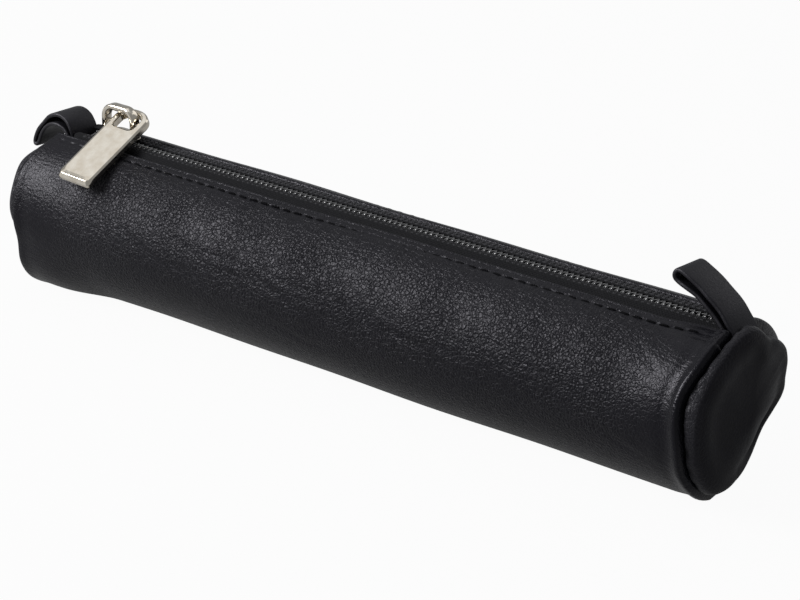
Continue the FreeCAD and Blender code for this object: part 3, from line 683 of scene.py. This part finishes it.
def left_loop_path():
    """Over the panel's rim and back under, with a flattened fold."""
    over = [(-98.7, 16.2), (-99.2, 17.9), (-99.8, 19.8), (-101.1, 21.4), (-103.3, 22.35), (-105.4, 22.3),
            (-107.6, 21.3), (-109.6, 19.4), (-111.5, 17.3), (-112.7, 15.2)]
    fold = [(-113.1, 14.1), (-112.85, 13.45), (-112.1, 13.5)]
    back = [(-111.45, 14.5), (-110.4, 16.5), (-109.1, 18.2), (-107.4, 19.4), (-105.2, 19.95), (-103.2, 19.6),
            (-101.7, 18.7), (-100.7, 17.4), (-100.2, 15.9)]
    return spline(over + fold + back, 6)


def coil_phase(along, side):
    """Turns of a coil's wire at a place along the zip; the rear coil is half a turn on."""
    return along / COIL_PITCH - (0.5 if side > 0 else 0.0)


def coil_aside(along):
    """How far the slider's divider parts each coil."""
    return 1.2 * smooth(-85.3, -90.3, along)


def coil_path(side, low, high):
    """Flattened helix of one coil, whose heads cross the middle, and the radius of its wire."""
    steps = 16
    middle, half_width, half_height = 1.25, 1.85, 0.40
    wire, head_swell, head_lift = 0.25, 0.16, 0.40
    first = math.ceil(coil_phase(low, side) * steps)
    last = math.floor(coil_phase(high, side) * steps)
    turn = np.arange(first, last + 1) / steps
    wave = turn * 2 * math.pi
    along = (turn - coil_phase(0.0, side)) * COIL_PITCH
    across = middle + coil_aside(along) - half_width * np.cos(wave)
    rise = half_height * np.sign(np.sin(wave)) * np.abs(np.sin(wave)) ** 0.7
    head = np.maximum(np.cos(wave), 0.0) ** 2
    path = np.stack([along, side * across, COIL_MIDDLE + rise + head_lift * head], -1)
    return path, wire + head_swell * head ** 2


def make_coil(side, edge, end, low, high):
    """A stretch of one coil, and the rows of thread that sew it to the tape."""
    path, thick = coil_path(side, low, high)
    points, faces = rod(path, thick, 7)
    coil = make_piece(f"{edge}_coil_{end}", points, faces, nylon, None, [f"{edge}_coil"])
    run = np.arange(low, high, COIL_PITCH / 8)
    wave = np.cos(coil_phase(run, side) * 2 * math.pi)
    seat = tape_top(side) - (0.28 if side < 0 else 0.08)
    radius, swell, bob = 0.34, 0.10, 0.05
    rows = []
    for from_middle in (1.7, 2.75):
        line = np.stack([run, side * (from_middle + coil_aside(run)), seat + bob * wave], -1)
        rows.append(rod(line, radius + swell * wave, 8, (0.0, 1.0, 0.0)))
    points, faces = merge(rows)
    sewing = make_piece(f"{edge}_coil_sewing_{end}", points, faces, chain_thread, None)
    for piece in (coil, sewing):
        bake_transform(piece)


def tape_top(side):
    """Height of a tape where it lies over its coil; the front one is pulled lower."""
    return 19.2 if side < 0 else 19.4


def make_tape_edge(side, name, low, high, cad_node):
    """Free edge of a tape: up from the sewn strip and over its coil to a woven selvedge."""
    left = low - TAPE_OVERHANG if low == -ZIP_HALF else low
    right = high + TAPE_OVERHANG if high == ZIP_HALF else high
    run = np.linspace(left, right, 160)
    top = tape_top(side)
    apart = coil_aside(run)
    lip = (1.2 if side < 0 else 1.0) + apart

    def parted(spots):
        """Spots moved aside with the coil, less so towards the sewn strip."""
        return [(across + apart * (TAPE_FOLD - across) * 0.4, height) for across, height in spots]

    section = parted([(TAPE_FOLD, TAPE_HIGH), (4.55, 18.25), (4.0, top - 0.45), (3.5, top - 0.1),
                      (2.95, top)])
    section += [(lip + 0.5, top), (lip + 0.1, top - 0.07), (lip, top - 0.18), (lip + 0.1, top - 0.28),
                (lip + 0.5, top - 0.3)]
    section += parted([(2.95, top - 0.3), (3.4, top - 0.4), (3.8, top - 0.75), (4.4, 17.95),
                       (4.75, TAPE_LOW + 0.15), (TAPE_FOLD, TAPE_LOW)])
    points = np.array([np.stack([run, side * across, np.full_like(run, height)], -1)
                       for across, height in section])
    tape = make_piece(name, points.transpose(1, 0, 2), tube_faces(len(run), len(section)), tape_fabric, None,
                      [cad_node], crease=50)
    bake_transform(tape)


def make_zip():
    """Coils and free tape edges in two stretches that meet at a join."""
    join = -25.0
    # End, from and to along the zip, where the fold starts and where it is full
    stretches = (("left", -ZIP_HALF, join, -97.0, -80.0), ("right", join, ZIP_HALF, 54.0, 26.0))
    for side, edge in ((-1, "front"), (1, "rear")):
        for end, low, high, start, finish in stretches:
            make_coil(side, edge, end, low, high)
            make_tape_edge(side, f"{edge}_tape_edge_{end}", low, high,
                           f"{edge}_tape_edge")


def bent_strip(turns, outer, inner, ends, rows):
    """A sheet bent about the tube's axis; ends gives its left and right reach at each turn."""
    low, high = [np.concatenate([end, end[::-1]]) for end in ends]
    wave = np.radians(np.concatenate([turns, turns[::-1]]))
    radius = np.repeat([outer, inner], len(turns))
    radius = np.minimum(radius, (AXIS_HEIGHT - TUBE_RADIUS + radius) / np.maximum(-np.cos(wave), 1e-6))
    share = np.linspace(0.0, 1.0, rows)[:, None]
    along = low + (high - low) * share
    return about_axis(along, radius, wave), sheet_faces(rows, len(turns))


def make_linings_and_tapes():
    """The lining inside the tube, and the strips of the tapes that are sewn under the leather."""
    rows = 60
    turns = np.linspace(18.6, 341.4, 90)
    short_of_seam = 4.2
    ends = (short_of_seam - seam_line(-1, turns)[0], seam_line(1, turns)[0] - short_of_seam)
    points, faces = bent_strip(turns, 17.9, 17.4, ends, rows)
    make_piece("tube_lining", points, faces, lining_fabric, "case", ["body_lining"],
               crease=40)
    for edge, first, last in (("front", 15.3, 28.9), ("rear", 331.1, 344.7)):
        turns = np.linspace(first, last, 10)
        ends = (np.full_like(turns, -ZIP_HALF), np.full_like(turns, ZIP_HALF))
        points, faces = bent_strip(turns, 18.6, 18.0, ends, rows)
        make_piece(f"{edge}_tape_sewn", points, faces, tape_fabric, "case",
                   [f"{edge}_zip_tape"], crease=40)


def make_end_lining(side, end):
    """A fabric disc behind an end panel and the twisted thread of the end seam."""
    turns = np.arange(0.0, 360.0, 5.0)
    wave = np.radians(turns)
    seam, seam_radius = seam_line(side, turns)
    behind = 2.4
    middle = np.mean(seam) - behind
    # Share of the radius, depth
    profile = ((0.03, 0.45), (0.5, 0.45), (0.9, 0.45), (0.98, 0.42), (1.0, 0.22), (0.98, 0.02), (0.9, 0.0),
               (0.5, 0.0), (0.03, 0.0))
    rings = []
    for share, depth in profile:
        along = middle + (seam - behind - middle) * share - depth
        radius = (seam_radius - 0.9) * share
        rings.append(about_axis(side * along, radius, wave))
    make_piece(f"{end}_lining_disc", np.array(rings), tube_faces(len(rings), len(turns)), lining_fabric,
               "case", [f"{end}_end_lining"], crease=60)
    turns = np.linspace(40.0, 320.0, 240)
    wave = np.radians(turns)
    seam, seam_radius = seam_line(side, turns)
    within, twist, ply_radius, twists = 1.7, 0.06, 0.07, 60
    plies = []
    for ply in (0.0, math.pi):
        radius = seam_radius - within + twist * np.cos(wave * twists + ply)
        along = side * (seam - within) + twist * np.sin(wave * twists + ply)
        plies.append(rod(about_axis(along, radius, wave), ply_radius, 5))
    points, faces = merge(plies)
    make_piece(f"{end}_seam_stitch", points, faces, thread, "case", [f"{end}_seam_thread"])


def make_stitching():
    """Rows of single stitches that dip into the leather at both ends."""
    count, length, radius, dip, slant = 54, 2.75, 0.25, 0.42, 0.10
    share = np.linspace(-1.0, 1.0, 9)
    inset_turn = math.degrees(STITCH_INSET / TUBE_RADIUS)
    # Edge, turn of its row, radius at the middle of a stitch
    sewn = (("front", FRONT_EDGE + inset_turn, 19.90), ("rear", REAR_EDGE - inset_turn, 19.72))
    for edge, turn, crown in sewn:
        parts = []
        for number in range(count):
            middle = (number - (count - 1) / 2) * STITCH_PITCH
            lean = edge_lean(middle, STITCH_INSET) if edge == "front" else 0.0
            wave = math.radians(turn - lean)
            lift = crown - dip * np.abs(share) ** 3
            line = about_axis(middle + share * length / 2, lift, wave)
            line[:, 1] += share * (slant if number % 2 else -slant)
            parts.append(rod(line, radius * np.sqrt(1.02 - np.abs(share) ** 4), 8, (0.0, 1.0, 0.0)))
        points, faces = merge(parts)
        make_piece(f"{edge}_stitches", points, faces, thread, "case", [f"{edge}_stitching"])


# Metal parts

def soft_outline(corners, radius, steps=5):
    """A convex outline in plan with round corners."""
    corners = np.asarray(corners, float)
    outline = []
    for before, corner, after in zip(np.roll(corners, 1, 0), corners, np.roll(corners, -1, 0)):
        towards = (before - corner) / np.linalg.norm(before - corner)
        onward = (after - corner) / np.linalg.norm(after - corner)
        for share in np.linspace(0, 1, steps + 1):
            outline.append(corner + radius * (towards * (1 - share) ** 2 + onward * share ** 2))
    return np.array(outline)


def inset(outline, distance):
    """Move a counter-clockwise outline inwards."""
    along = np.roll(outline, -1, 0) - np.roll(outline, 1, 0)
    along /= np.maximum(np.linalg.norm(along, axis=1), 1e-9)[:, None]
    return outline + np.stack([-along[:, 1], along[:, 0]], -1) * distance


def slab(outline, low, high, edge):
    """A plate with softened upper and lower edges."""
    quarter = np.radians((90, 60, 30, 0))
    back = edge * (1 - np.cos(quarter))
    rise = edge * (1 - np.sin(quarter))
    rings = [(inset(outline, b), low + r) for b, r in zip(back, rise)]
    rings += [(inset(outline, b), high - r) for b, r in zip(back[::-1], rise[::-1])]
    points = [np.column_stack([ring, np.full(len(ring), height)]) for ring, height in rings]
    return np.vstack(points), tube_faces(len(rings), len(outline))


def make_slider_body():
    """Two plates joined by the divider, with a rail down each side."""
    half = 6.0
    nose = half - 0.4
    shoulder = -half + 2.2

    def plan(wide, narrow):
        return soft_outline([(-half, -narrow), (shoulder, -wide), (0.5, -wide), (nose, -1.5), (nose, 1.5),
                             (0.5, wide), (shoulder, wide), (-half, narrow)], 0.9)

    divider = soft_outline([(-half, -0.45), (-half + 1.5, -0.45), (-half + 3.0, 0.0), (-half + 1.5, 0.45),
                            (-half, 0.45)], 0.2)
    # Heights of the lower plate, the upper plate, the divider and the rails
    lower, upper, inside, beside = (16.0, 17.0), (19.9, 20.7), (16.9, 20.1), (18.0, 20.1)
    parts = [slab(plan(3.9, 2.4), *lower, 0.25), slab(plan(4.2, 2.6), *upper, 0.35)]
    parts.append(slab(divider, *inside, 0.1))
    for side in (-1, 1):
        low, high = sorted((side * 3.5, side * 4.0))
        rail = soft_outline([(-0.7, low), (2.6, low), (2.6, high), (-0.7, high)], 0.2)
        parts.append(slab(rail, *beside, 0.15))
    points, faces = merge(parts)
    points[:, 0] += SLIDER_PLACE
    make_piece("slider_plates", points, faces, nickel, "slider", ["slider_body"], crease=40)


def make_slider_bridge():
    """A flattened arch of rounded bar."""
    half, low, high, corner = 4.85, 20.5, 27.2, 2.8
    path = [(-half, low)]
    for side, first, last in ((-1, 180, 90), (1, 90, 0)):
        for turn in np.radians(np.linspace(first, last, 12)):
            path.append((side * (half - corner) + corner * math.cos(turn),
                         high - corner + corner * math.sin(turn)))
    path.append((half, low))
    section = rounded_box(1.25, 0.72, 0.5)
    points = sweep(np.array(path) + (SLIDER_PLACE, 0.0), section[None, :, 0], section[None, :, 1])
    make_piece("slider_arch", points, tube_faces(len(path), len(section)), nickel, "slider",
               ["slider_bridge"])


def pull_outline(half, reach, corner):
    """Counter-clockwise plan of the pull: round ring end, straight sides, a tip with round corners."""
    flattened = 1.5
    ring = [(half * math.cos(turn), (half - flattened) * math.sin(turn))
            for turn in np.linspace(0, math.pi, 49)]
    left = [(-half, y) for y in np.linspace(0, -reach + corner, 16)[1:]]
    low_left = [(-half + corner - corner * math.cos(turn), -reach + corner - corner * math.sin(turn))
                for turn in np.linspace(0, math.pi / 2, 9)[1:]]
    tip = [(x, -reach) for x in np.linspace(-half + corner, half - corner, 13)[1:]]
    low_right = [(half - corner + corner * math.sin(turn), -reach + corner - corner * math.cos(turn))
                 for turn in np.linspace(0, math.pi / 2, 9)[1:]]
    right = [(half, y) for y in np.linspace(-reach + corner, 0, 16)[1:-1]]
    return np.array(ring + left + low_left + tip + low_right + right)


def window_outline(outline, half):
    """The window's edge on the same rays as an outline, square with round corners towards the tip."""
    turn = np.arctan2(outline[:, 1], outline[:, 0])
    cos, sin = np.cos(turn), np.sin(turn)
    power, flattened = 7, 1.25
    squared = half / (np.abs(cos) ** power + np.abs(sin) ** power) ** (1 / power)
    oval = half / np.hypot(cos, sin * half / (half - flattened))
    reach = np.where(sin >= 0, oval, squared)
    return np.stack([reach * cos, reach * sin], -1)


def make_pull():
    """A flat tab with sloped edges, hung by its window on the arch; it is drawn flat and then laid over."""
    half, reach, thick = 5.1, 22.0, 2.2
    tilt, roll = math.radians(27.632), math.radians(4.0)
    hung_at = (-82.55, 0.0, 24.5)
    outline = pull_outline(half, reach, 0.8)
    window = window_outline(outline, 3.3)
    top, base = thick / 2, -thick / 2
    # From the flat top outwards: inset of the sides, inset of the tip, corner, drop
    edges = [(1.20, 1.90, 1.30, 0.0), (0.95, 1.66, 1.30, 0.0), (0.91, 1.60, 1.30, 0.01),
             (0.36, 0.66, 1.15, 0.20), (0.30, 0.60, 1.10, 0.24), (0.06, 0.08, 0.90, 1.02),
             (0.0, 0.0, 0.80, 1.16)]
    tip = smooth(-reach + 2.4, -reach + 0.6, outline[:, 1])
    rings = []
    for side_inset, tip_inset, corner, drop in edges:
        plan = pull_outline(half - side_inset, reach - tip_inset, corner)
        # The sides slope less steeply than the tip
        shallow = min(drop, 0.18 + 0.40 * drop)
        rings.append((plan, top - shallow - (drop - shallow) * tip))
    rings += [(outline, base + 0.40), (inset(outline, 0.12), base + 0.14), (inset(outline, 0.40), base),
              (inset(window, -0.34), base), (inset(window, -0.10), base + 0.10), (window, base + 0.34),
              (window, top - 0.5), (inset(window, -0.13), top - 0.16), (inset(window, -0.45), top),
              (inset(window, -0.62), top)]
    flat = np.vstack([np.column_stack([plan, np.broadcast_to(height, len(plan))]) for plan, height in rings])
    faces = grid_faces(len(rings), len(outline), wrap_rows=True)
    rolled = np.stack([flat[:, 0] * math.cos(roll) + flat[:, 2] * math.sin(roll), flat[:, 1],
                       flat[:, 2] * math.cos(roll) - flat[:, 0] * math.sin(roll)], -1)
    laid = np.stack([rolled[:, 0], rolled[:, 1] * math.cos(tilt) - rolled[:, 2] * math.sin(tilt),
                     rolled[:, 1] * math.sin(tilt) + rolled[:, 2] * math.cos(tilt)], -1)
    make_piece("zip_pull", laid + hung_at, faces, nickel, "pull", ["pull_tab"], crease=10)


make_leather_body()
make_end_panel(-1, "left_panel", "left_end_panel")
make_end_panel(1, "right_panel", "right_end_panel")
make_linings_and_tapes()
make_end_lining(-1, "left")
make_end_lining(1, "right")
make_zip()
make_stitching()
make_slider_body()
make_slider_bridge()
make_pull()
make_strap("right_strap", right_loop_path(), "right_loop")
make_strap("left_strap", left_loop_path(), "left_loop")


# Stage, light and camera

def white_seen(tree):
    """How much of the white background a ray sees: all of it by eye, and a share in glossy surfaces."""
    path = node(tree, "ShaderNodeLightPath").outputs
    seen = maths(tree, "MAXIMUM", path["Is Camera Ray"], path["Is Transmission Ray"])
    return maths(tree, "MAXIMUM", seen, times(tree, path["Is Glossy Ray"], MIRRORED_WHITE))


def make_floor():
    """A pale floor that reads as white and keeps a faint shadow."""
    mesh = bpy.data.meshes.new("floor")
    reach, sunk = 3.0, 0.0002
    mesh.from_pydata([(-reach, -reach, 0), (reach, -reach, 0), (reach, reach, 0), (-reach, reach, 0)], [],
                     [(0, 1, 2, 3)])
    floor = bpy.data.objects.new("floor", mesh)
    floor.location.z = -sunk
    bpy.context.scene.collection.objects.link(floor)
    material = bpy.data.materials.new("pale_floor")
    material.use_nodes = True
    tree = material.node_tree
    tree.nodes.clear()
    share = times(tree, white_seen(tree), FLOOR_WHITE)
    plain = node(tree, "ShaderNodeBsdfDiffuse", {"Color": FLOOR_COLOUR}).outputs[0]
    white = node(tree, "ShaderNodeEmission", {"Color": (1, 1, 1, 1), "Strength": 1.0}).outputs[0]
    mixed = node(tree, "ShaderNodeMixShader", {0: share, 1: plain, 2: white}).outputs[0]
    out = node(tree, "ShaderNodeOutputMaterial")
    tree.links.new(mixed, out.inputs["Surface"])
    mesh.materials.append(material)


def make_world():
    """Dim even light, white where the camera looks past the floor."""
    world = bpy.data.worlds.new("studio")
    bpy.context.scene.world = world
    world.use_nodes = True
    tree = world.node_tree
    tree.nodes.clear()
    dim = node(tree, "ShaderNodeBackground", {"Color": WORLD_COLOUR, "Strength": WORLD_LIGHT}).outputs[0]
    white = node(tree, "ShaderNodeBackground", {"Color": (1, 1, 1, 1), "Strength": 1.0}).outputs[0]
    mixed = node(tree, "ShaderNodeMixShader", {0: white_seen(tree), 1: dim, 2: white}).outputs[0]
    out = node(tree, "ShaderNodeOutputWorld")
    tree.links.new(mixed, out.inputs["Surface"])


def make_lamp(name, towards, distance, size, power):
    """A square softbox aimed at the case from a direction."""
    lamp = bpy.data.lights.new(name, "AREA")
    lamp.size = size
    lamp.energy = power
    place = bpy.data.objects.new(name, lamp)
    direction = Vector(towards).normalized()
    place.location = direction * distance
    place.rotation_mode = "QUATERNION"
    place.rotation_quaternion = direction.to_track_quat("Z", "Y")
    bpy.context.scene.collection.objects.link(place)


def make_camera():
    """The photograph's viewpoint."""
    turn, rise, distance = math.radians(42.30), math.radians(20.59), 745.24
    look = Vector((-math.sin(turn) * math.cos(rise), math.cos(turn) * math.cos(rise), -math.sin(rise)))
    target = Vector((-2.5, 0.0, 19.58))
    lens = bpy.data.cameras.new("camera")
    lens.lens = 146.96
    lens.sensor_width = 36.0
    lens.shift_x = 0.0295
    lens.shift_y = -0.0082
    lens.clip_start = 0.01
    lens.clip_end = 20.0
    camera = bpy.data.objects.new("camera", lens)
    camera.location = (target - look * distance) * MM
    camera.rotation_mode = "QUATERNION"
    camera.rotation_quaternion = look.to_track_quat("-Z", "Y")
    bpy.context.scene.collection.objects.link(camera)
    bpy.context.scene.camera = camera


make_floor()
make_world()
# Direction from the case, distance and side in metres, power in watts
make_lamp("key_softbox", (-0.63, -0.60, 0.50), 1.0, 0.48, 12.0)
make_lamp("top_softbox", (-0.32, 0.12, 0.94), 1.0, 0.95, 2.0)
make_lamp("back_softbox", (0.2, 0.8, 0.6), 1.3, 0.6, 1.2)
make_camera()

view = bpy.context.scene.view_settings
view.view_transform = "Standard"
